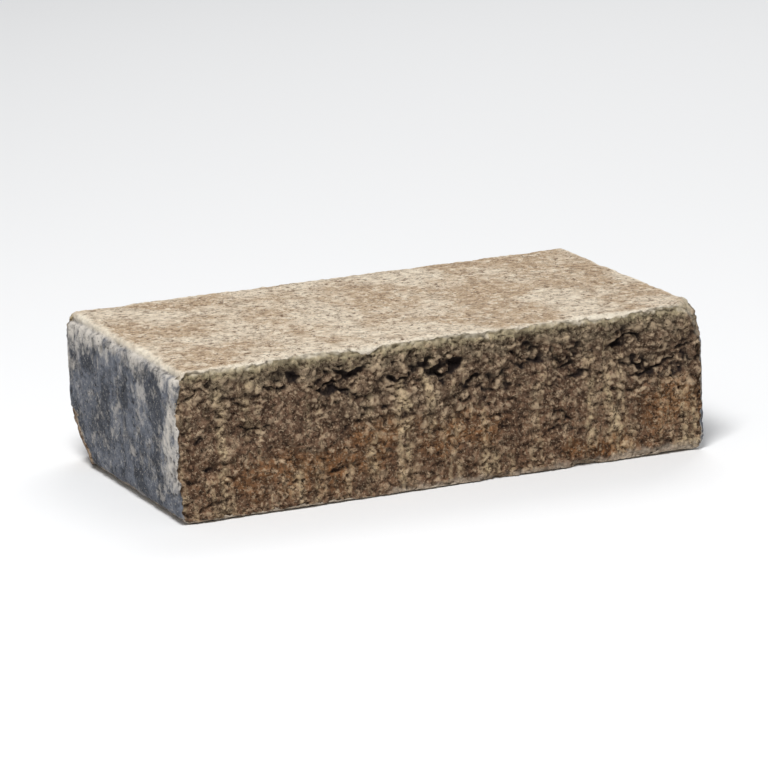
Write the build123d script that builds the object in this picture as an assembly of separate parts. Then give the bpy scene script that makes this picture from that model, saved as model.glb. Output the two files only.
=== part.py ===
from build123d import *
import os
from math import cos, pi, radians, sin

# Tumbled concrete wall block: one pressed piece, split off a wider slab along both long faces and
# rolled in a drum until its edges are round. X runs along the wall, Y through it and Z up.
# The origin is at the middle of the bed that the block lies on.

# Overall size as laid, over the highest lumps of the split faces
LENGTH = 370.0
DEPTH = 210.0
HEIGHT = 100.0

# Split faces: hollow to crest of the break, the longest and shortest lumps that it leaves, the share of
# their height along the upper and lower edges, where the splitting blades keep the break straight,
# and the direction in degrees that the longest lumps run in on each face
SPLIT_RELIEF = 7.0
LONGEST_LUMP = 160.0
SHORTEST_LUMP = 34.0
LUMP_SIZES = 9
BLADE_SHARE = 0.35
FRONT_HEADING = 20.0
BACK_HEADING = 75.0

# Flat facets that the break runs in: their size, and how far their corners stray from a square lattice
FACET = 15.0
STRAY = 4.2

# Hollows torn out of the break, most of them in the upper half, where the mix was pressed least: distance
# from the left end and below the top as one faces the break, half length, half height and depth
HOLLOWS = [
    (22.0, 64.0, 15.0, 11.0, 2.5),
    (53.0, 47.0, 17.0, 12.0, 4.0),
    (75.0, 17.0, 17.0, 12.0, 3.5),
    (110.0, 19.0, 20.0, 13.0, 5.5),
    (149.0, 30.0, 17.0, 12.0, 3.5),
    (182.0, 22.0, 18.0, 13.0, 4.5),
    (212.0, 38.0, 24.0, 12.0, 3.5),
    (248.0, 18.0, 18.0, 12.0, 4.5),
    (275.0, 30.0, 20.0, 13.0, 5.5),
    (313.0, 19.0, 17.0, 12.0, 4.0),
    (342.0, 39.0, 24.0, 14.0, 6.0),
    (270.0, 71.0, 17.0, 12.0, 3.0),
]

# Rounding left by the drum: its radius, and how far outside the highest lumps it starts,
# so that proud lumps are worn more than the hollows between them
WEAR_RADIUS = 9.0
WEAR_START = 0.5

# Corners knocked off in flat breaks: the side of the block along X, Y and Z, and the reach of each break
# along the three edges
CHIPS = [
    ((1, -1, 1), (26.0, 26.0, 22.0)),
    ((1, -1, 1), (19.0, 15.0, 44.0)),
    ((-1, 1, -1), (18.0, 30.0, 26.0)),
    ((-1, 1, -1), (13.0, 48.0, 40.0)),
]

# Spalls along the lower front edge: distance from the right end, chord along the edge, and depth
SPALLS = [(86.0, 30.0, 4.5), (148.0, 24.0, 3.5)]

# Slab that breaks away on each side of the block
WASTE = 30.0
GOLDEN_ANGLE = radians(137.508)


def lattice():
    """Corners of the facets, as rows of X and Z over the slab, each one astray by the golden angle."""
    columns = round((LENGTH + 2 * WASTE) / FACET)
    rows = round((HEIGHT + 2 * WASTE) / FACET)
    places = []
    for j in range(rows + 1):
        row = []
        for i in range(columns + 1):
            turn = (j * (columns + 1) + i) ** 2 * GOLDEN_ANGLE
            stray = STRAY if 0 < i < columns and 0 < j < rows else 0.0
            x = (i / columns - 0.5) * (LENGTH + 2 * WASTE) + stray * cos(turn)
            z = j / rows * (HEIGHT + 2 * WASTE) - WASTE + stray * sin(turn)
            row.append((x, z))
        places.append(row)
    return places


def lumps(x, z, heading):
    """Sum of equal waves at a point of the break, turned on by the golden angle, flattened at the blades."""
    from_middle = 2 * z / HEIGHT - 1
    flattening = 1 / (1 + (1 / BLADE_SHARE - 1) * from_middle ** 2)
    height = 0.0
    for i in range(LUMP_SIZES):
        lump = LONGEST_LUMP * (SHORTEST_LUMP / LONGEST_LUMP) ** (i / (LUMP_SIZES - 1))
        direction = radians(heading) + i * GOLDEN_ANGLE
        height += cos(2 * pi * (x * cos(direction) + z * sin(direction)) / lump + i * i * GOLDEN_ANGLE)
    return flattening * height


def torn(x, z, side):
    """Depth of the hollows at a point of the break on one side: round bowls, deepest in the middle."""
    depth = 0.0
    for from_left, below_top, half_long, half_high, deep in HOLLOWS:
        along = (LENGTH / 2 - side * x - from_left) / half_long
        up = (HEIGHT - below_top - z) / half_high
        depth = max(depth, deep * (1 - along ** 2 - up ** 2))
    return depth


def split_face(side, heading):
    """Y of one split face (-1 front, 1 back) over X and Z, with its highest lump at the full depth."""
    inside = [(x, z) for row in lattice() for x, z in row if abs(x) < LENGTH / 2 and 0 < z < HEIGHT]
    heights = [lumps(x, z, heading) for x, z in inside]
    crest = max(heights)
    scale = SPLIT_RELIEF / (crest - min(heights))
    return lambda x, z: side * (DEPTH / 2 - scale * (crest - lumps(x, z, heading)) - torn(x, z, side))


def polygon(points):
    """A flat face with the given corners."""
    return Face(Wire.make_polygon(points, close=True))


def split_waste(side, face_y):
    """The part of the slab that breaks away outside a split face, in facets halved along the shorter way."""
    points = [[Vector(x, face_y(x, z), z) for x, z in row] for row in lattice()]
    faces = []
    for lower, upper in zip(points, points[1:]):
        for a, b, c, d in zip(lower, lower[1:], upper[1:], upper):
            if (c - a).length < (d - b).length:
                faces += [polygon([a, b, c]), polygon([a, c, d])]
            else:
                faces += [polygon([a, b, d]), polygon([b, c, d])]
    rims = [points[0], [row[-1] for row in points], points[-1][::-1], [row[0] for row in points][::-1]]
    outside = side * (DEPTH / 2 + WASTE)
    for rim in rims:
        faces.append(polygon(rim + [Vector(p.X, outside, p.Z) for p in (rim[-1], rim[0])]))
    faces.append(polygon([Vector(rim[0].X, outside, rim[0].Z) for rim in rims]))
    return Solid(Shell(faces))


def knock_corner(block, side, reach):
    """The block without the corner outside a plane through the chip's reach along the three edges."""
    corner = Vector(side[0] * LENGTH / 2, side[1] * DEPTH / 2, (1 + side[2]) * HEIGHT / 2)
    normal = Vector(side[0] / reach[0], side[1] / reach[1], side[2] / reach[2])
    plane = Plane(origin=corner - Vector(side[0] * reach[0], 0, 0), z_dir=normal)
    return split(block, bisect_by=plane, keep=Keep.BOTTOM)


def spall(from_right, chord, deep, face_y):
    """A round flake off the lower front edge: a ball whose cap has that chord and depth at the edge."""
    radius = chord * chord / (8 * deep) + deep / 2
    outwards = Vector(0, -1, -1).normalized()
    x = LENGTH / 2 - from_right
    return Pos(*(Vector(x, face_y(x, 0), 0) + outwards * (radius - deep))) * Sphere(radius)


front_y = split_face(-1, FRONT_HEADING)
back_y = split_face(1, BACK_HEADING)
slab = Box(LENGTH, DEPTH + 2 * WEAR_START, HEIGHT, align=(Align.CENTER, Align.CENTER, Align.MIN))
block = fillet(slab.edges(), WEAR_RADIUS) - split_waste(-1, front_y) - split_waste(1, back_y)
for side, reach in CHIPS:
    block = knock_corner(block, side, reach)
for from_right, chord, deep in SPALLS:
    block -= spall(from_right, chord, deep, front_y)

os.makedirs("parts", exist_ok=True)
export_step(block, "parts/wall_block.step")
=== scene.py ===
from math import cos, radians, sin

import bpy
import numpy as np
from mathutils import Matrix, Vector


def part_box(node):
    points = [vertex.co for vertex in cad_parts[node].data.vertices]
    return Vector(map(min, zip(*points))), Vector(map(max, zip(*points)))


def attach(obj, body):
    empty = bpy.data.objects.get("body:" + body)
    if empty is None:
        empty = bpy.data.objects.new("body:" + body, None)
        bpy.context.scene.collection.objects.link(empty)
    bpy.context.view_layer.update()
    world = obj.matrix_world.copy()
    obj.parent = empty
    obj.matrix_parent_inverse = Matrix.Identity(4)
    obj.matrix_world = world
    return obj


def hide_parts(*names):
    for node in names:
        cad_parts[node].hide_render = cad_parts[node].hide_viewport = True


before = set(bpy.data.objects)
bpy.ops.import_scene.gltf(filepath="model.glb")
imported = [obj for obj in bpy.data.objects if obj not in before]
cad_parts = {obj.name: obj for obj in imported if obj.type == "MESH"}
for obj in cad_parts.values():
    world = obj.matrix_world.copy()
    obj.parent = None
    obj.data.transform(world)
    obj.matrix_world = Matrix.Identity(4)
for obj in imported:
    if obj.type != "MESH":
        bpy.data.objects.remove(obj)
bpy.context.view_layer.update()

# The wall block: one piece of dry-pressed concrete, stripped from a steel mould, split off its neighbours
# along both long faces by blades, and rolled in a drum, which rounds the edges and knocks some away.
# Lengths in this section are millimetres until the mesh is made.
MILLIMETRE = 0.001
low, high = (np.array(corner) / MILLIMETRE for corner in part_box("wall_block"))
length, depth, height = high - low

# The two breaks, as in the solid: hollow to crest, the share of that left at the blades, the lengths and
# number of the lumps, the headings of the longest, and the facets with the slab that they are laid out on
SPLIT_RELIEF = 7.0
BLADE_SHARE = 0.35
LONGEST_LUMP = 160.0
SHORTEST_LUMP = 34.0
LUMP_SIZES = 9
FRONT_HEADING = 20.0
BACK_HEADING = 75.0
FACET = 15.0
STRAY = 4.2
WASTE = 30.0
GOLDEN_ANGLE = radians(137.508)

# Hollows torn out of each break, as in the solid: from the left end, below the top, half length, half
# height and depth
HOLLOWS = [
    (22.0, 64.0, 15.0, 11.0, 2.5), (53.0, 47.0, 17.0, 12.0, 4.0), (75.0, 17.0, 17.0, 12.0, 3.5),
    (110.0, 19.0, 20.0, 13.0, 5.5), (149.0, 30.0, 17.0, 12.0, 3.5), (182.0, 22.0, 18.0, 13.0, 4.5),
    (212.0, 38.0, 24.0, 12.0, 3.5), (248.0, 18.0, 18.0, 12.0, 4.5), (275.0, 30.0, 20.0, 13.0, 5.5),
    (313.0, 19.0, 17.0, 12.0, 4.0), (342.0, 39.0, 24.0, 14.0, 6.0), (270.0, 71.0, 17.0, 12.0, 3.0),
]

# Wear, as in the solid: the rounding of the edges and how far outside the highest lumps it starts, the side
# and reach of each knocked corner along X, Y and Z, and the distance from the right end, chord and depth of
# each spall
WEAR_RADIUS = 9.0
WEAR_START = 0.5
CHIPS = [
    ((1, -1, 1), (26.0, 26.0, 22.0)), ((1, -1, 1), (19.0, 15.0, 44.0)),
    ((-1, 1, -1), (18.0, 30.0, 26.0)), ((-1, 1, -1), (13.0, 48.0, 40.0)),
]
SPALLS = [(86.0, 30.0, 4.5), (148.0, 24.0, 3.5)]

# Spacing of the mesh, fine along the length and height, coarser across the beds away from their edges,
# the triangles left after thinning, and how far all of it stays inside the solid's box
FINE_STEP = 0.8
BED_STEP = 3.0
FINE_MARGIN = 11.0
TRIANGLE_BUDGET = 194000
INSET = 0.1


def box_lattice(lines):
    """Corner points and outward quads of a box's six faces, cut up along the given lines of each axis:
    each face is the lattice of its two other axes, and equal lattice places become one point."""
    counts = [len(line) - 1 for line in lines]
    quads = []
    for axis in range(3):
        b, c = (axis + 1) % 3, (axis + 2) % 3
        at_b, at_c = np.meshgrid(np.arange(counts[b]), np.arange(counts[c]), indexing="ij")
        for side in (0, counts[axis]):
            places = np.full(at_b.shape + (4, 3), side)
            places[..., b] = at_b[..., None] + [0, 1, 1, 0]
            places[..., c] = at_c[..., None] + [0, 0, 1, 1]
            quads.append((places if side else places[..., ::-1, :]).reshape(-1, 4, 3))
    places = np.concatenate(quads).reshape(-1, 3)
    sizes = [len(line) for line in lines]
    keys, corners = np.unique(np.ravel_multi_index(places.T, sizes), return_inverse=True)
    points = np.stack([line[i] for line, i in zip(lines, np.unravel_index(keys, sizes))], axis=1)
    return points, corners.reshape(-1, 4)


def round_off(points, half, radius):
    """Points of a sharp box moved onto the same box with rounded edges, and their normals: each point is
    clamped to the box shrunk by the radius, then set one radius out from there towards where it was."""
    core = np.clip(points, -half + radius, half - radius)
    normals = points - core
    normals /= np.linalg.norm(normals, axis=1, keepdims=True)
    return core + radius * normals, normals


def smooth_step(start, end, value):
    """0 up to start, 1 from end on, and the cubic 3t^2 - 2t^3 between."""
    t = np.clip((value - start) / (end - start), 0, 1)
    return t * t * (3 - 2 * t)


def break_waves(x, z, heading):
    """Sum of equal cosine waves over a break, with lengths in even ratio and directions and phases that turn
    on by the golden angle, flattened towards the blades by 1 / (1 + k u^2), u from the mid-height."""
    total = np.zeros_like(x)
    for i in range(LUMP_SIZES):
        lump = LONGEST_LUMP * (SHORTEST_LUMP / LONGEST_LUMP) ** (i / (LUMP_SIZES - 1))
        turn = radians(heading) + i * GOLDEN_ANGLE
        total += np.cos(2 * np.pi * (x * cos(turn) + z * sin(turn)) / lump + i * i * GOLDEN_ANGLE)
    return total / (1 + (1 / BLADE_SHARE - 1) * (2 * z / height - 1) ** 2)


def facet_corners():
    """X and Z of the corners of the solid's facets inside its outline: a square lattice over the slab, with
    each inner corner astray by a fixed length in a direction that turns on by the golden angle."""
    columns, rows = (round((side + 2 * WASTE) / FACET) for side in (length, height))
    j, i = np.mgrid[0:rows + 1, 0:columns + 1]
    turn = (j * (columns + 1) + i) ** 2 * GOLDEN_ANGLE
    stray = np.where((i > 0) & (i < columns) & (j > 0) & (j < rows), STRAY, 0)
    x = (i / columns - 0.5) * (length + 2 * WASTE) + stray * np.cos(turn)
    z = j / rows * (height + 2 * WASTE) - WASTE + stray * np.sin(turn)
    inside = (np.abs(x) < length / 2) & (z > 0) & (z < height)
    return x[inside], z[inside]


def break_depth(x, z, heading):
    """How far the break lies inside the block's full depth: 0 at the highest facet corner and the relief at
    the lowest, in proportion to the waves."""
    corners = break_waves(*facet_corners(), heading)
    return SPLIT_RELIEF * (corners.max() - break_waves(x, z, heading)) / np.ptp(corners)


def torn_depth(x, z, side):
    """Depth of the hollows in the break on one side: bowls d (1 - a^2 - u^2), where a and u count from a
    bowl's middle in its half length and half height, and the deepest bowl at each point."""
    deepest = np.zeros_like(x)
    for from_left, below_top, half_long, half_high, deep in HOLLOWS:
        a = (length / 2 - side * x - from_left) / half_long
        u = (height - below_top - z) / half_high
        deepest = np.maximum(deepest, deep * (1 - a * a - u * u))
    return deepest


# Entries in the tables of random values, a power of two so that places wrap round by their last bits,
# and the gain that brings gradient noise to about -1 to 1
TABLE_SIZE = 256
WRAP = TABLE_SIZE - 1
NOISE_GAIN = 1.6


def gradient_noise(points, wave, seed):
    """Gradient noise from about -1 to 1 with lumps of the given wavelength, one value or one for each
    axis: each lattice corner holds a random direction, dotted with the offset from it and blended by
    the quintic fade 6t^5 - 15t^4 + 10t^3."""
    random = np.random.default_rng(seed)
    table = random.permutation(TABLE_SIZE)
    directions = random.normal(size=(TABLE_SIZE, 3))
    directions /= np.linalg.norm(directions, axis=1, keepdims=True)
    scaled = points / np.broadcast_to(wave, 3) + random.uniform(0, TABLE_SIZE, 3)
    cell = np.floor(scaled).astype(int)
    t = scaled - cell
    fade = t ** 3 * (t * (t * 6 - 15) + 10)
    total = np.zeros(len(points))
    for corner in np.ndindex(2, 2, 2):
        i, j, k = ((cell + corner) & WRAP).T
        direction = directions[table[(table[(table[i] + j) & WRAP] + k) & WRAP]]
        share = np.where(corner, fade, 1 - fade).prod(axis=1)
        total += share * ((t - corner) * direction).sum(axis=1)
    return total * NOISE_GAIN


# Grains: the smallest as a share of the largest, how far they may be sunk, and how square they are
SMALLEST_GRAIN = 0.45
DEEPEST_SUNK = 0.85
SQUARENESS = 0.75


def packed_grains(x, z, size, seed):
    """Height, 0 to 1, and tone of grains packed in a face: each square of a lattice holds one grain at a
    random place, a cap sqrt(1 - d^2) of random size, sunk by a random depth, and the highest grain shows.
    The distance d in grain sizes is part round and part square, turned at random, so grains are angular."""
    random = np.random.default_rng(seed)
    table = random.permutation(TABLE_SIZE)
    places = random.uniform(0, 1, (TABLE_SIZE, 2))
    radii = random.uniform(SMALLEST_GRAIN, 1.0, TABLE_SIZE)
    sunk = random.uniform(0, DEEPEST_SUNK, TABLE_SIZE)
    tones = random.uniform(0, 1, TABLE_SIZE)
    turns = random.uniform(0, np.pi / 2, TABLE_SIZE)
    scaled = np.stack([x, z], axis=1) / size
    cell = np.floor(scaled).astype(int)
    top = np.zeros(len(x))
    tone = np.zeros(len(x))
    for offset in np.ndindex(3, 3):
        neighbour = cell + np.array(offset) - 1
        i, j = (neighbour & WRAP).T
        grain = table[(table[i] + j) & WRAP]
        across, up = ((scaled - neighbour - places[grain]) / radii[grain][:, None]).T
        sine, cosine = np.sin(turns[grain]), np.cos(turns[grain])
        square = np.maximum(np.abs(across * cosine + up * sine), np.abs(up * cosine - across * sine))
        away = SQUARENESS * square + (1 - SQUARENESS) * np.hypot(across, up)
        cap = np.sqrt(np.maximum(1 - away ** 2, 0)) - sunk[grain]
        tone = np.where(cap > top, tones[grain], tone)
        top = np.maximum(top, cap)
    return top, tone


# Lattice on the worn slab
half = np.array([length / 2, depth / 2 + WEAR_START, height / 2])
line_x = np.linspace(-half[0], half[0], round(length / FINE_STEP) + 1)
line_z = np.linspace(-half[2], half[2], round(height / FINE_STEP) + 1)
margin = np.linspace(half[1] - FINE_MARGIN, half[1], round(FINE_MARGIN / FINE_STEP) + 1)
inner = np.linspace(-margin[0], margin[0], round(2 * margin[0] / BED_STEP) + 1)
line_y = np.concatenate([-margin[:0:-1], inner, margin[1:]])
points, quads = box_lattice([line_x, line_y, line_z])
points, normals = round_off(points, half, WEAR_RADIUS)
points[:, 2] += height / 2

# Ragged outlines: what is torn or worn strays by a fine and a broad noise, each with its size and reach
FINE_FRAY, FINE_REACH = 5.5, 2.0
BROAD_FRAY, BROAD_REACH = 15.0, 4.5
bent = np.stack([gradient_noise(points, FINE_FRAY, seed) for seed in (2, 3, 4)], axis=1)
swayed = np.stack([gradient_noise(points, BROAD_FRAY, seed) for seed in (5, 6, 7)], axis=1)
frayed = points + FINE_REACH * bent + BROAD_REACH * swayed
frayed_x, frayed_y, frayed_z = frayed.T

# Both breaks cut into it
is_front = points[:, 1] < 0
bowls = np.where(is_front, torn_depth(frayed_x, frayed_z, -1), torn_depth(frayed_x, frayed_z, 1))
front = break_depth(points[:, 0], points[:, 2], FRONT_HEADING) + bowls - depth / 2
back = depth / 2 - break_depth(points[:, 0], points[:, 2], BACK_HEADING) - bowls
cut = np.maximum(front - points[:, 1], points[:, 1] - back)
points[:, 1] = np.where(is_front, np.maximum(points[:, 1], front), np.minimum(points[:, 1], back))

# Corners knocked off along planes that stray a little, and the spalls, which are caps of balls
CHIP_SWAY, CHIP_FRAY = 1.4, 0.7
chipped = np.zeros(len(points))
for side, reach in CHIPS:
    side, reach = np.array(side), np.array(reach)
    corner = np.where(side > 0, high, low)
    normal = side / reach / np.linalg.norm(1 / reach)
    outside = (points - corner) @ normal + reach[0] * abs(normal[0])
    outside = outside + CHIP_SWAY * swayed[:, 0] + CHIP_FRAY * bent[:, 0]
    points -= np.maximum(outside, 0)[:, None] * normal
    cut = np.maximum(cut, outside)
    chipped = np.maximum(chipped, smooth_step(-1, 2, outside))

for from_right, chord, deep in SPALLS:
    radius = chord ** 2 / (8 * deep) + deep / 2
    spall_x = length / 2 - from_right
    edge_y = break_depth(np.array(spall_x), np.array(0.0), FRONT_HEADING) - depth / 2
    centre = np.array([spall_x, edge_y, 0]) + np.array([0, -1, -1]) / np.sqrt(2) * (radius - deep)
    away = points - centre
    distance = np.linalg.norm(away, axis=1)
    points += away / distance[:, None] * np.maximum(radius - distance, 0)[:, None]
    cut = np.maximum(cut, radius - distance)

# Where each finish lies: broken concrete, the moulded ends, and the edges. Wear reaches some way in from an
# edge and leaves a ragged border there. Away from the edges the crests of a break count as broken too.
EDGE_REACH = 17
BORDER_FRAY, BORDER_SWAY = 1.6, 1.4
CREST_ALLOWANCE = 1.5
from_faces = np.sort(half - np.abs(points - [0, 0, height / 2]), axis=1)
near_edge = smooth_step(EDGE_REACH, 1, from_faces[:, 1])
border = BORDER_FRAY * bent[:, 2] + BORDER_SWAY * swayed[:, 2]
broken = smooth_step(-0.5, 0.3, cut + CREST_ALLOWANCE * (1 - near_edge) + near_edge * border)
facing = normals * (1 - broken[:, None])
facing[:, 1] += broken * np.sign(points[:, 1])
facing /= np.linalg.norm(facing, axis=1, keepdims=True)
end = smooth_step(0.45, 0.85, np.abs(facing[:, 0]))
edge = smooth_step(0.02, 0.22, 1 - np.abs(normals).max(axis=1))

# Small forms of the breaks, by their size, across or along X, Y and Z, and their height or depth
LUMP_SIZE, LUMP_HEIGHT = (36, 36, 24), 0.6
RIDGE_SIZE, RIDGE_HEIGHT = (22, 22, 9), 2.8
SIDE_RIDGE_SIZE, SIDE_RIDGE_SHARE = (8, 8, 5), 0.6
CRUMB_SIZE, CRUMB_FLATNESS, CRUMB_HEIGHT = 4.8, 1.3, 1.9
GRAIN_SIZE, GRAIN_FLATNESS, GRAIN_HEIGHT = 2.6, 1.1, 1.9
SAND_SIZE, SAND_HEIGHT = 1.9, 0.25
PIT_SIZE, PIT_CLUSTER, PIT_DEPTH = (13, 13, 5), 34, 2.4
CRACK_SIZE, CRACK_CLUSTER, CRACK_DEPTH = (32, 32, 10), (30, 30, 12), 2.3

# The mix is loosest towards the top, from and to these heights, which stray with a broad noise and rise to
# the left on the front. The blades hold the uppermost strip together. The back has grains of its own.
LOOSE_FROM, LOOSE_TO = 36, 76
LOOSE_STRAY, LOOSE_STRAY_SIZE, LOOSE_TILT = 26, 55, 10
WARP = 1.6
BACK_SHIFT = 1000

# Broken faces: crumbs all over, and towards the top and in the hollows cracks and pits. From here on x and z
# are views, which move with the points.
x, z = points[:, 0], points[:, 2]
warped = points + WARP * bent
face_x = warped[:, 0] + np.where(is_front, 0, BACK_SHIFT)
held = smooth_step(height - 3, height - 14, z)
tilt = LOOSE_TILT * np.where(is_front, x / half[0], 0)
loose_z = z + LOOSE_STRAY * gradient_noise(points, LOOSE_STRAY_SIZE, 1) + tilt
torn = held * smooth_step(LOOSE_FROM, LOOSE_TO, loose_z)
bowl = held * smooth_step(0.2, 2.6, bowls)
lumps = gradient_noise(points, LUMP_SIZE, 8)
ridges = np.abs(gradient_noise(frayed, RIDGE_SIZE, 9))
ridges = ridges + SIDE_RIDGE_SHARE * np.abs(gradient_noise(frayed, SIDE_RIDGE_SIZE, 10))
crumb, crumb_tone = packed_grains(face_x, CRUMB_FLATNESS * warped[:, 2], CRUMB_SIZE, 11)
grain, grain_tone = packed_grains(face_x, GRAIN_FLATNESS * warped[:, 2], GRAIN_SIZE, 12)
sand = gradient_noise(points, SAND_SIZE, 13)
pits = smooth_step(0.2, 0.42, gradient_noise(warped, PIT_SIZE, 14))
pits *= smooth_step(-0.2, 0.4, gradient_noise(points, PIT_CLUSTER, 15))
cracks = smooth_step(0.15, 0.02, np.abs(gradient_noise(frayed, CRACK_SIZE, 16)))
cracks *= smooth_step(-0.25, 0.3, gradient_noise(points, CRACK_CLUSTER, 17))
crevices = CRACK_DEPTH * cracks * (0.5 * torn + bowl)
loose = 0.5 + 0.5 * torn
close_depth = (
    loose * (RIDGE_HEIGHT * (0.35 - ridges) + CRUMB_HEIGHT * (0.5 - crumb) + PIT_DEPTH * pits)
    + GRAIN_HEIGHT * (0.5 - grain)
    - SAND_HEIGHT * sand
    + crevices * (1.2 - 0.6 * crumb)
)

# The relief is set back from the solid's face, less so along the upper and lower edges
EDGE_SET_BACK, FURTHER_SET_BACK = 0.7, 1.5
set_back = EDGE_SET_BACK + FURTHER_SET_BACK * smooth_step(1, 12, np.minimum(z, height - z))
rough_depth = np.maximum(set_back + close_depth - LUMP_HEIGHT * lumps, 0)

# Beds and ends: a fine skin with small pits, dragged upwards on the ends
SKIN_SET_BACK, SKIN_GRAIN = 0.35, 0.2
PINHOLE_SIZE, PINHOLE_DEPTH = (4.4, 4.4, 6.5), 0.9
DRAG_SIZE, DRAG_HEIGHT = (6, 6, 40), 0.35
pinholes = smooth_step(0.42, 0.62, gradient_noise(warped, PINHOLE_SIZE, 20))
dragged = end * DRAG_HEIGHT * gradient_noise(points, DRAG_SIZE, 21)
skin_depth = SKIN_SET_BACK + SKIN_GRAIN * sand + PINHOLE_DEPTH * pinholes + dragged

# Edges: knocked and worn unevenly, deepest on the edge itself, and less where the face is broken anyway
KNOCK_SIZE, NICK_SIZE, CHAFE_SIZE = 30, 12, 5.5
KNOCK_DEPTH, WEAR_DEPTH = 2.4, 1.2
BROKEN_EASING = 0.45
knocks = smooth_step(0.0, 0.7, gradient_noise(points, KNOCK_SIZE, 22))
knocks = knocks + 0.9 * np.abs(gradient_noise(points, NICK_SIZE, 23))
knocks += 0.5 * np.abs(gradient_noise(points, CHAFE_SIZE, 31))
worn = edge * (0.2 + KNOCK_DEPTH * knocks) + near_edge * (0.1 + WEAR_DEPTH * knocks)
edge_depth = (1 - BROKEN_EASING * broken) * worn

relief = broken * rough_depth + (1 - broken) * skin_depth + edge_depth
points -= relief[:, None] * facing
points = np.clip(points, low + INSET, high - INSET)

# Pale runs of lime down the front: middle along X, half width, lowest and highest point, strength. Their
# borders stray, and each fades in over the foot and out over the head. The back has runs of its own.
LIME_RUNS = [
    (-183, 3, 0, 96, 0.7), (-154, 6, 2, 78, 0.9), (-134, 4, 55, 86, 0.6), (-102, 5, 0, 34, 0.8),
    (-89, 3, 4, 24, 0.7), (-51, 5, 12, 44, 0.7), (-29, 6, 0, 72, 0.9), (-11, 5, 46, 88, 0.8),
    (9, 4, 0, 34, 0.5), (30, 7, 0, 26, 0.9), (62, 4, 0, 60, 0.4), (104, 5, 0, 62, 0.9),
    (120, 7, 0, 58, 0.9), (133, 4, 0, 22, 0.6), (172, 11, 4, 42, 0.8),
]
RUN_STRAY_X, RUN_STRAY_Z, RUN_FADE, RUN_FOOT = 3.5, 12, 12, 4
BACK_RUN_SIZE, RUN_BREAK_SIZE = (14, 14, 120), (5, 5, 16)
lime = np.zeros(len(points))
run_x = x + RUN_STRAY_X * gradient_noise(points, (11, 11, 26), 24)
run_z = z + RUN_STRAY_Z * gradient_noise(points, 9, 25)
for at_x, half_width, bottom, top, strength in LIME_RUNS:
    run = strength * smooth_step(1.5, 0.2, np.abs(run_x - at_x) / half_width)
    run = run * smooth_step(bottom - RUN_FADE, bottom + RUN_FOOT, run_z)
    lime = np.maximum(lime, run * smooth_step(top + RUN_FADE, top - RUN_FADE, run_z))
lime = np.where(is_front, lime, smooth_step(0.2, 0.6, gradient_noise(points, BACK_RUN_SIZE, 26)))
lime *= smooth_step(-0.45, 0.25, gradient_noise(points, RUN_BREAK_SIZE, 29))

# Skin that stays on the breaks along the two worn lips, of which the lower one rises to the right, and dust
# on the knocked corners
LIP_HEIGHT, LIP_SWAY, LIP_SWAY_SIZE, LIP_FRAY, LIP_GRAIN = 2.6, 2.2, 22, 2.4, 1.4
LIP_TILT = 2.5
UPPER_LIP_SHARE, LOWER_LIP_SHARE, DUST_SHARE = 0.9, 0.65, 0.3
lip_height = LIP_HEIGHT + LIP_SWAY * gradient_noise(points, LIP_SWAY_SIZE, 27) + LIP_FRAY * bent[:, 1]
lip_height = lip_height + LIP_GRAIN * sand
upper_lip = smooth_step(2, -2, height - z - lip_height)
lower_lip = smooth_step(2, -2, z - lip_height - LIP_TILT * x / half[0])
lips = np.maximum(UPPER_LIP_SHARE * upper_lip, LOWER_LIP_SHARE * lower_lip)
broken *= 1 - np.maximum(lips, DUST_SHARE * chipped)

# Olive mix towards the top, and rust-brown patches in the front: middle along X and up Z, half width and half
# height. The back has patches of its own.
OLIVE_FROM, OLIVE_TO, OLIVE_SWAY, OLIVE_FRAY = 80, 95, 12, 6
RUST_PATCHES = [(-92, 24, 60, 15), (-44, 42, 24, 14), (8, 34, 30, 13), (160, 36, 28, 20), (110, 13, 30, 8)]
BACK_PATCH_SIZE = (60, 60, 30)
olive_z = z + OLIVE_SWAY * swayed[:, 0] + OLIVE_FRAY * bent[:, 0]
olive = smooth_step(OLIVE_FROM, OLIVE_TO, olive_z) + 0.5 * torn
rust = np.zeros(len(points))
for at_x, at_z, half_width, half_height in RUST_PATCHES:
    away = np.hypot((frayed_x - at_x) / half_width, (frayed_z - at_z) / half_height)
    rust = np.maximum(rust, smooth_step(1.3, 0.3, away + 0.5 * swayed[:, 1]))
rust = np.where(is_front, rust, smooth_step(0.1, 0.7, gradient_noise(points, BACK_PATCH_SIZE, 28)))

# Patches on the left end, pale or, below zero, dark: middle along Y and up Z, half width, half height and
# strength. The right end has patches of its own.
END_PATCHES = [
    (96, 58, 12, 17, 0.2), (42, 42, 40, 24, -0.12), (-38, 66, 7, 19, 0.16), (-66, 74, 13, 16, -0.3),
    (-4, 44, 7, 8, 0.2), (-48, 44, 8, 6, 0.2), (-92, 46, 15, 40, 0.26), (-32, 5, 16, 7, 0.1),
    (70, 88, 34, 9, 0.12),
]
RIGHT_PATCH_SIZE, RIGHT_PATCH_STRENGTH = (30, 30, 40), 0.3
bloom = np.zeros(len(points))
for at_y, at_z, half_width, half_height, strength in END_PATCHES:
    away = np.hypot((frayed_y - at_y) / half_width, (frayed_z - at_z) / half_height)
    bloom += strength * smooth_step(1.5, 0.4, away)
bloom = np.where(x < 0, bloom, RIGHT_PATCH_STRENGTH * gradient_noise(points, RIGHT_PATCH_SIZE, 30))

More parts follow.
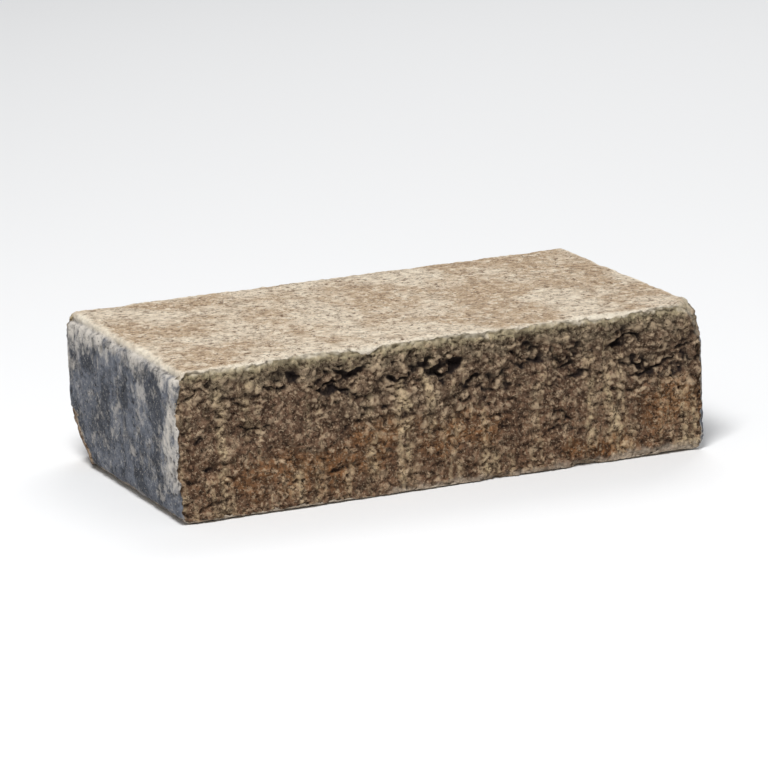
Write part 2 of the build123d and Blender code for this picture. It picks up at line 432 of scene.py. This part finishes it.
# The mesh, with what its finish follows kept at every point
finishes = {
    "broken": broken,
    "end": end,
    "rim": np.maximum(edge, near_edge),
    # depth of the relief, which the shader darkens in the hollows as painted shade
    "hollow": close_depth + bowl,
    "olive": olive,
    "bloom": bloom,
    "rust": rust,
    "lime": lime,
    "tone": 0.5 * crumb_tone + 0.5 * grain_tone,
    # height of the crumbs and grains, which the shader makes paler on the crests, partly as painted highlight
    "crest": loose * crumb + 0.9 * grain,
    # where the pits are, which the shader darkens as painted shade
    "pinholes": pinholes,
}
mesh = bpy.data.meshes.new("wall_block_concrete")
mesh.vertices.add(len(points))
mesh.vertices.foreach_set("co", (points * MILLIMETRE).astype(np.float32).ravel())
mesh.loops.add(quads.size)
mesh.loops.foreach_set("vertex_index", quads.astype(np.int32).ravel())
mesh.polygons.add(len(quads))
mesh.polygons.foreach_set("loop_start", np.arange(0, quads.size, 4, dtype=np.int32))
mesh.polygons.foreach_set("use_smooth", np.ones(len(quads), bool))
mesh.update(calc_edges=True)
for name, values in finishes.items():
    mesh.attributes.new(name, "FLOAT", "POINT").data.foreach_set("value", values.astype(np.float32))

block = bpy.data.objects.new("wall_block_concrete", mesh)
bpy.context.scene.collection.objects.link(block)
thin = block.modifiers.new("thin the flat stretches", "DECIMATE")
thin.ratio = TRIANGLE_BUDGET / (2 * len(quads))

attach(block, "root")
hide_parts("wall_block")

# Its concrete: grey cement with brown and cream sand, blended unevenly in the mix. The skin of the beds is
# pale with lime, the ends are blue-grey with pale runs, and the broken faces show the brown inside.
concrete = bpy.data.materials.new("blended_concrete")
concrete.use_nodes = True
tree = concrete.node_tree
surface = tree.nodes["Principled BSDF"]


def srgb(code):
    """A colour written as a hex number, as the linear values that the shader takes."""
    channels = np.array([code >> 16 & 255, code >> 8 & 255, code & 255]) / 255
    linear = np.where(channels <= 0.04045, channels / 12.92, ((channels + 0.055) / 1.055) ** 2.4)
    return (*linear, 1.0)


def add(kind, inputs=None, **settings):
    """One shader node with its settings, and its inputs set to values or linked to other sockets."""
    node = tree.nodes.new(kind)
    for name, value in settings.items():
        setattr(node, name, value)
    for key, value in (inputs or {}).items():
        if isinstance(value, bpy.types.NodeSocket):
            tree.links.new(value, node.inputs[key])
        else:
            node.inputs[key].default_value = value
    return node


def attribute(name):
    """One of the values kept at the mesh's points."""
    return add("ShaderNodeAttribute", attribute_name=name).outputs["Fac"]


def calc(operation, a, b):
    """The sum, difference or product of two values."""
    return add("ShaderNodeMath", {0: a, 1: b}, operation=operation).outputs[0]


def step(value, start, full, at_full=1.0, at_start=0.0):
    """A value mapped smoothly: at_start up to start, at_full from full on."""
    inputs = {"Value": value, "From Min": start, "From Max": full, "To Min": at_start, "To Max": at_full}
    return add("ShaderNodeMapRange", inputs, interpolation_type="SMOOTHSTEP").outputs["Result"]


def blend(share, a, b):
    """Colour a turned into colour b by a share from 0 to 1."""
    return add("ShaderNodeMix", {0: share, 6: a, 7: b}, data_type="RGBA").outputs[2]


def layered(colour, layers):
    """A colour with others laid over it in turn. Each layer is the value that it follows, where it starts,
    where it is full, its share there, and its colour."""
    for follows, start, full, share, over in layers:
        colour = blend(step(follows, start, full, share), colour, over)
    return colour


place = add("ShaderNodeTexCoord").outputs["Object"]


def noise(size, detail, rough, shift=0.0):
    """Noise with lumps of the given size in millimetres, one value or one for each axis."""
    scale = tuple(1 / (np.broadcast_to(size, 3) * MILLIMETRE))
    inputs = {"Vector": place, "Location": (shift, shift, shift), "Scale": scale}
    where = add("ShaderNodeMapping", inputs).outputs[0]
    inputs = {"Vector": where, "Scale": 1.0, "Detail": detail, "Roughness": rough}
    return add("ShaderNodeTexNoise", inputs).outputs[0]


# What the finishes follow: height in millimetres, the values at the points, and noises from fine to coarse
up = calc("MULTIPLY", add("ShaderNodeSeparateXYZ", {0: place}).outputs["Z"], 1 / MILLIMETRE)
is_broken = attribute("broken")
is_end = attribute("end")
is_rim = attribute("rim")
is_pinhole = attribute("pinholes")
is_olive = attribute("olive")
is_rust = attribute("rust")
is_lime = attribute("lime")
hollow = attribute("hollow")
crest_height = attribute("crest")
grain_shade = attribute("tone")
end_bloom = attribute("bloom")
fleck = noise(1.6, 4.0, 0.7, 7.0)
speck = noise(3.0, 6.0, 0.8)
mottle = noise(7.0, 6.0, 0.75, 11.0)

# Broken faces: brown mix, redder low down, with rust and olive, dragged streaks, lime, grains light and dark,
# and a pale top band and pale crests, partly painted highlight, and painted shade in the hollows
MIX_BROWN = srgb(0x785D4A)
MIX_OLIVE = srgb(0x877A64)
MIX_RUST = srgb(0x98673A)
MIX_DARK = srgb(0x37271C)
RIM_OLIVE = srgb(0xB4A784)
RIM_CREAM_AND_HIGHLIGHT = srgb(0xCFC09F)
SAND_TAN_AND_HIGHLIGHT = srgb(0xD4BB9B)
LIME_TAN = srgb(0xE0C8A0)
HOLLOW_SHADE = srgb(0x181214)
RUST_SHARE = 0.62
patch = noise((9.0, 9.0, 7.0), 3.0, 0.6, 37.0)
streak = noise((5.0, 5.0, 50.0), 4.0, 0.6, 31.0)
brown = layered(MIX_BROWN, [(up, 62.0, 26.0, 0.12, MIX_RUST)])
brown = blend(calc("MULTIPLY", is_rust, RUST_SHARE), brown, MIX_RUST)
brown = layered(brown, [
    (calc("ADD", is_olive, mottle), 0.7, 1.5, 0.8, MIX_OLIVE),
    (calc("ADD", step(up, 84.0, 98.0), mottle), 0.85, 1.35, 0.7, RIM_OLIVE),
    (patch, 0.49, 0.36, 0.5, MIX_DARK),
    (patch, 0.53, 0.66, 0.45, SAND_TAN_AND_HIGHLIGHT),
    (streak, 0.48, 0.36, 0.4, MIX_DARK),
    (streak, 0.54, 0.66, 0.35, LIME_TAN),
])
lime_share = calc("MULTIPLY", is_lime, step(crest_height, 0.3, 1.0, at_full=0.95, at_start=0.3))
brown = layered(blend(lime_share, brown, LIME_TAN), [
    (grain_shade, 0.5, 0.1, 0.5, MIX_DARK),
    (grain_shade, 0.6, 0.95, 0.65, SAND_TAN_AND_HIGHLIGHT),
    (speck, 0.51, 0.42, 0.9, MIX_DARK),
    # partly painted highlight: the crests of crumbs and grains made paler, as pale worn grain and as where
    # the light catches them
    (crest_height, 1.0, 1.5, 0.5, SAND_TAN_AND_HIGHLIGHT),
    (fleck, 0.53, 0.66, 0.55, SAND_TAN_AND_HIGHLIGHT),
    # partly painted highlight: the top band of the breaks paler, as cream skin and as the rounded top edge
    # catching the light
    (calc("ADD", step(up, 87.0, 99.0), mottle), 1.0, 1.5, 0.65, RIM_CREAM_AND_HIGHLIGHT),
    # painted shade: the deepest hollows of the relief darkened nearly to black
    (hollow, 0.6, 3.4, 0.92, HOLLOW_SHADE),
])

# Beds: tan and cream skin in clouds, dark specks, painted shade in the pinholes, pale worn rims, and brown
# low down
BED_TAN = srgb(0xC3AA8D)
BED_CREAM = srgb(0xE2D2BB)
BED_LIME = srgb(0xFAF0DC)
BED_SPECK_AND_PIT_SHADE = srgb(0x644A34)
PINHOLE_SHADE_SHARE = 0.7
blot = noise(3.6, 5.0, 0.75, 17.0)
cream = layered(BED_TAN, [
    (noise(60, 4.0, 0.6), 0.4, 0.58, 1.0, BED_CREAM),
    (mottle, 0.5, 0.4, 0.35, BED_SPECK_AND_PIT_SHADE),
    (mottle, 0.52, 0.62, 0.6, BED_LIME),
    (blot, 0.46, 0.38, 0.85, BED_SPECK_AND_PIT_SHADE),
    (speck, 0.46, 0.37, 0.75, BED_SPECK_AND_PIT_SHADE),
    (fleck, 0.56, 0.66, 0.7, BED_LIME),
])
# painted shade: the pinholes darkened with the speck colour
cream = blend(calc("MULTIPLY", is_pinhole, PINHOLE_SHADE_SHARE), cream, BED_SPECK_AND_PIT_SHADE)
cream = layered(cream, [(calc("ADD", is_rim, mottle), 0.9, 1.4, 0.65, BED_LIME)])
cream = blend(calc("MULTIPLY", is_rim, step(up, 16.0, 3.0, at_full=0.55)), cream, MIX_BROWN)

# Ends: blue-grey and slate in clouds, lime in patches, more along the top and less low down, and dark pins,
# with painted shade in the pinholes
END_BLUE = srgb(0x6C7079)
END_SLATE = srgb(0x45484F)
END_LIME = srgb(0xDAD2C7)
END_PIN_AND_PIT_SHADE = srgb(0x202024)
END_PINHOLE_SHADE_SHARE = 0.45
FINE_LIME_SHARE = 0.7
cloud = noise((15.0, 15.0, 12.0), 5.0, 0.65, 43.0)
pin = noise((4.4, 4.4, 3.0), 4.0, 0.7, 23.0)
fine_lime = calc("MULTIPLY", noise((10, 10, 10), 4.0, 0.65, 5.0), FINE_LIME_SHARE)
pale = calc("ADD", noise((17, 17, 24), 5.0, 0.75, 3.0), fine_lime)
pale = calc("ADD", calc("ADD", pale, end_bloom), step(up, 76.0, 99.0, at_full=0.28))
pale = calc("SUBTRACT", pale, step(up, 30.0, 8.0, at_full=0.16))
grey = layered(END_SLATE, [
    (noise((26, 26, 36), 5.0, 0.7), 0.43, 0.57, 1.0, END_BLUE),
    (end_bloom, -0.03, -0.2, 0.7, END_SLATE),
    (pale, 0.88, 1.22, 0.85, END_LIME),
    (cloud, 0.49, 0.37, 0.4, END_PIN_AND_PIT_SHADE),
    (cloud, 0.53, 0.66, 0.4, END_LIME),
    (pin, 0.44, 0.36, 0.7, END_PIN_AND_PIT_SHADE),
    (fleck, 0.55, 0.67, 0.4, END_LIME),
])
# painted shade: the pinholes darkened with the pin colour
grey = blend(calc("MULTIPLY", is_pinhole, END_PINHOLE_SHADE_SHARE), grey, END_PIN_AND_PIT_SHADE)

# All three together, dull and dry, with sand too fine for the mesh as a bump, lower on the moulded ends
SPECK_BUMP = 0.8
END_BUMP = 0.55
BUMP_HEIGHT = 1.6 * MILLIMETRE
colour = blend(is_broken, blend(is_end, cream, grey), brown)
tree.links.new(colour, surface.inputs["Base Color"])
surface.inputs["Roughness"].default_value = 0.92
surface.inputs["Specular IOR Level"].default_value = 0.2
fine = calc("ADD", fleck, calc("MULTIPLY", speck, SPECK_BUMP))
fine = calc("MULTIPLY", fine, step(is_end, 0.0, 1.0, at_full=END_BUMP, at_start=1.0))
bump = add("ShaderNodeBump", {"Height": fine, "Strength": 0.9, "Distance": BUMP_HEIGHT})
tree.links.new(bump.outputs[0], surface.inputs["Normal"])
mesh.materials.append(concrete)

# Floor: a plain pale sheet that the block lies on, much wider than the view.
# Lengths are metres from here on.
FLOOR_HALF = 8.0
FLOOR_GREY = (0.86, 0.86, 0.86, 1)
floor_mesh = bpy.data.meshes.new("floor")
floor_corners = [(i * FLOOR_HALF, j * FLOOR_HALF, 0) for i, j in ((-1, -1), (1, -1), (1, 1), (-1, 1))]
floor_mesh.from_pydata(floor_corners, [], [(0, 1, 2, 3)])
floor = bpy.data.objects.new("floor", floor_mesh)
bpy.context.scene.collection.objects.link(floor)
pale_sheet = bpy.data.materials.new("pale_floor")
pale_sheet.use_nodes = True
sheet_surface = pale_sheet.node_tree.nodes["Principled BSDF"]
sheet_surface.inputs["Base Color"].default_value = FLOOR_GREY
sheet_surface.inputs["Roughness"].default_value = 0.95
floor_mesh.materials.append(pale_sheet)

# Light: an even pale sky, with a wide soft lamp high in front on the left and a weaker one behind,
# both aimed at the block.
SKY_TINT = (0.95, 0.97, 1.0, 1)
SKY_STRENGTH = 0.32
LAMP_AIM = Vector((0, 0, 0.05))
world = bpy.data.worlds.new("sky")
world.use_nodes = True
sky = world.node_tree.nodes["Background"]
sky.inputs["Color"].default_value = SKY_TINT
sky.inputs["Strength"].default_value = SKY_STRENGTH
bpy.context.scene.world = world


def soft_lamp(name, position, size, power):
    """A square lamp of the given side, aimed at the block."""
    lamp = bpy.data.lights.new(name, "AREA")
    lamp.size = size
    lamp.energy = power
    holder = bpy.data.objects.new(name, lamp)
    holder.location = position
    holder.rotation_euler = (LAMP_AIM - Vector(position)).to_track_quat("-Z", "Y").to_euler()
    bpy.context.scene.collection.objects.link(holder)


soft_lamp("key_lamp", position=(-0.9, -1.2, 2.5), size=0.9, power=74)
soft_lamp("back_lamp", position=(1.2, 1.8, 2.2), size=1.6, power=26)
bpy.context.scene.view_settings.view_transform = "Standard"

# Camera: where the photograph was taken from, and turned as much about its own axis, with a longer lens
# so that the block fills the frame.
EYE = Vector((-1.154, -2.724, 0.770))
AIM = Vector((0, 0, 0.047))
ROLL = radians(-2.2)
camera_data = bpy.data.cameras.new("camera")
camera_data.sensor_width = 36
camera_data.lens = 217
camera = bpy.data.objects.new("camera", camera_data)
turned = (AIM - EYE).to_track_quat("-Z", "Y").to_matrix() @ Matrix.Rotation(ROLL, 3, "Z")
camera.matrix_world = Matrix.Translation(EYE) @ turned.to_4x4()
bpy.context.scene.collection.objects.link(camera)
bpy.context.scene.camera = camera
